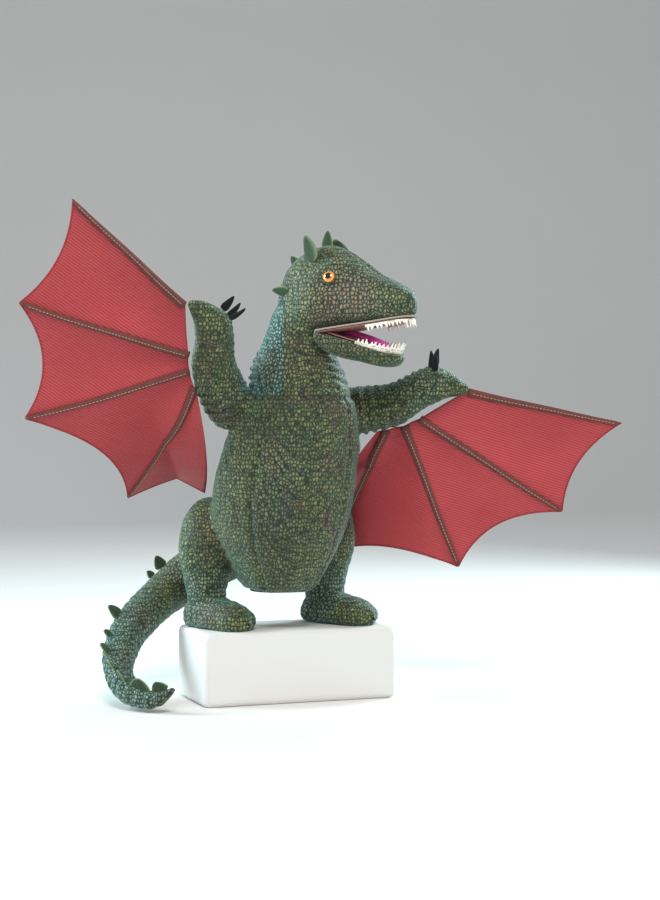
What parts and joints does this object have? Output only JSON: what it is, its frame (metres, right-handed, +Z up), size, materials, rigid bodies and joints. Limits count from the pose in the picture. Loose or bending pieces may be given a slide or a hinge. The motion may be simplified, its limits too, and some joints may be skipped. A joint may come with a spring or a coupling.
{
  "type": "hand puppet",
  "caption": "Winged dragon hand puppet: lined hand sleeve, finger-worked head and jaw, spread ribbed wings on the arms, soft legs and a curling finned tail.",
  "frame": {"origin": "centre of the hand opening's mouth, at the lower edge of the sleeve cuff", "axes": "+Z up along the cuff, -Y the way the dragon's chest faces, +X toward the dragon's left wing"},
  "size_m": [0.7288, 0.3506, 0.5863],
  "materials": {
    "scale_fabric": "printed embossed scale fabric with a faint foil sheen",
    "nape_fabric": "turquoise embossed scale fabric",
    "stuffing": "polyester fibre filling",
    "lining": "plain woven lining",
    "fin_felt": "green felt with paler edges",
    "claw_felt": "black felt",
    "mouth_board": "thin stiff board",
    "mouth_lining": "dusky plush",
    "tooth_vinyl": "cream vinyl",
    "tongue_fabric": "magenta plush",
    "eye_plastic": "glossy safety eye",
    "washer_plastic": "moulded",
    "wing_cloth": "ribbed faille",
    "rib_tape": "folded casing tape with cream stitching",
    "boning_plastic": "plastic boning"
  },
  "bodies": {
    "torso": {"belly_panel": "scale_fabric", "flank_panel_left": "scale_fabric", "flank_panel_right": "scale_fabric", "back_panel": "scale_fabric", "torso_padding": "stuffing", "hand_sleeve": "lining", "sleeve_cuff": "lining", "back_fins": "fin_felt"},
    "neck": {"throat_panel": "scale_fabric", "nape_panel": "nape_fabric", "neck_sleeve": "lining", "neck_fins": "fin_felt"},
    "head": {"skull_cover": "scale_fabric", "snout_foam": "stuffing", "finger_pocket": "lining", "palate_board": "mouth_board", "upper_mouth_lining": "mouth_lining", "upper_teeth": "tooth_vinyl", "eye_left": "eye_plastic", "eye_right": "eye_plastic", "eye_washers": "washer_plastic", "ear_left": "fin_felt", "ear_right": "fin_felt", "cheek_fins": "fin_felt", "crest_fins": "fin_felt"},
    "jaw": {"jaw_cover": "scale_fabric", "jaw_board": "mouth_board", "lower_mouth_lining": "mouth_lining", "thumb_pocket": "lining", "lower_teeth": "tooth_vinyl", "tongue": "tongue_fabric"},
    "arm_left": {"arm_skin_left": "scale_fabric", "arm_stuffing_left": "stuffing", "hand_claws_left": "claw_felt"},
    "arm_right": {"arm_skin_right": "scale_fabric", "arm_stuffing_right": "stuffing", "hand_claws_right": "claw_felt"},
    "wing_left": {"wing_cloth_left": "wing_cloth", "leading_rib_left": "rib_tape", "fan_ribs_left": "rib_tape", "rib_boning_left": "boning_plastic"},
    "wing_right": {"wing_cloth_right": "wing_cloth", "leading_rib_right": "rib_tape", "fan_ribs_right": "rib_tape", "rib_boning_right": "boning_plastic"},
    "leg_left": {"leg_skin_left": "scale_fabric", "leg_stuffing_left": "stuffing", "toe_claws_left": "claw_felt"},
    "leg_right": {"leg_skin_right": "scale_fabric", "leg_stuffing_right": "stuffing", "toe_claws_right": "claw_felt"},
    "tail_base": {"tail_base_skin": "scale_fabric", "tail_base_stuffing": "stuffing", "tail_base_fins": "fin_felt"},
    "tail_tip": {"tail_tip_skin": "scale_fabric", "tail_tip_stuffing": "stuffing", "tail_tip_fins": "fin_felt"}
  },
  "joints": [
    {"name": "neck_nod", "type": "hinge", "parent": "torso", "child": "neck", "pos_m": [0.008, -0.058, 0.2415], "axis": [1, 0, 0], "range_deg": [-10, 10]},
    {"name": "head_turn", "type": "hinge", "parent": "neck", "child": "head", "pos_m": [0.008, -0.063, 0.312], "axis": [0, 0, 1], "range_deg": [-25, 20]},
    {"name": "jaw_hinge", "type": "hinge", "parent": "head", "child": "jaw", "pos_m": [0.03448, -0.09814, 0.3125], "axis": [0.7986, 0.6018, 0], "range_deg": [-6, 8]},
    {"name": "arm_raise_left", "type": "hinge", "parent": "torso", "child": "arm_left", "pos_m": [0.07, -0.035, 0.222], "axis": [0, -1, 0], "range_deg": [-4, 34]},
    {"name": "arm_raise_right", "type": "hinge", "parent": "torso", "child": "arm_right", "pos_m": [-0.07, -0.035, 0.222], "axis": [0, 1, 0], "range_deg": [-26, 14]},
    {"name": "wing_flap_left", "type": "hinge", "parent": "arm_left", "child": "wing_left", "pos_m": [0.07835, -0.02928, 0.18797], "axis": [0.9131, -0.3746, 0.161], "range_deg": [-4, 22]},
    {"name": "wing_flap_right", "type": "hinge", "parent": "arm_right", "child": "wing_right", "pos_m": [-0.0962, -0.03032, 0.20928], "axis": [0.4568, 0.4067, -0.7912], "range_deg": [-4, 22]},
    {"name": "hip_left", "type": "hinge", "parent": "torso", "child": "leg_left", "pos_m": [0.077, 0.043, 0.028], "axis": [1, 0, 0], "range_deg": [-16, 18]},
    {"name": "hip_right", "type": "hinge", "parent": "torso", "child": "leg_right", "pos_m": [-0.077, 0.043, 0.028], "axis": [1, 0, 0], "range_deg": [-22, 18]},
    {"name": "tail_swing", "type": "hinge", "parent": "torso", "child": "tail_base", "pos_m": [-0.013, 0.085, 0.046], "axis": [0, 0, 1], "range_deg": [-12, 12]},
    {"name": "tail_curl", "type": "hinge", "parent": "tail_base", "child": "tail_tip", "pos_m": [-0.134, 0.104, -0.028], "axis": [0, 0, 1], "range_deg": [-18, 18]}
  ]
}
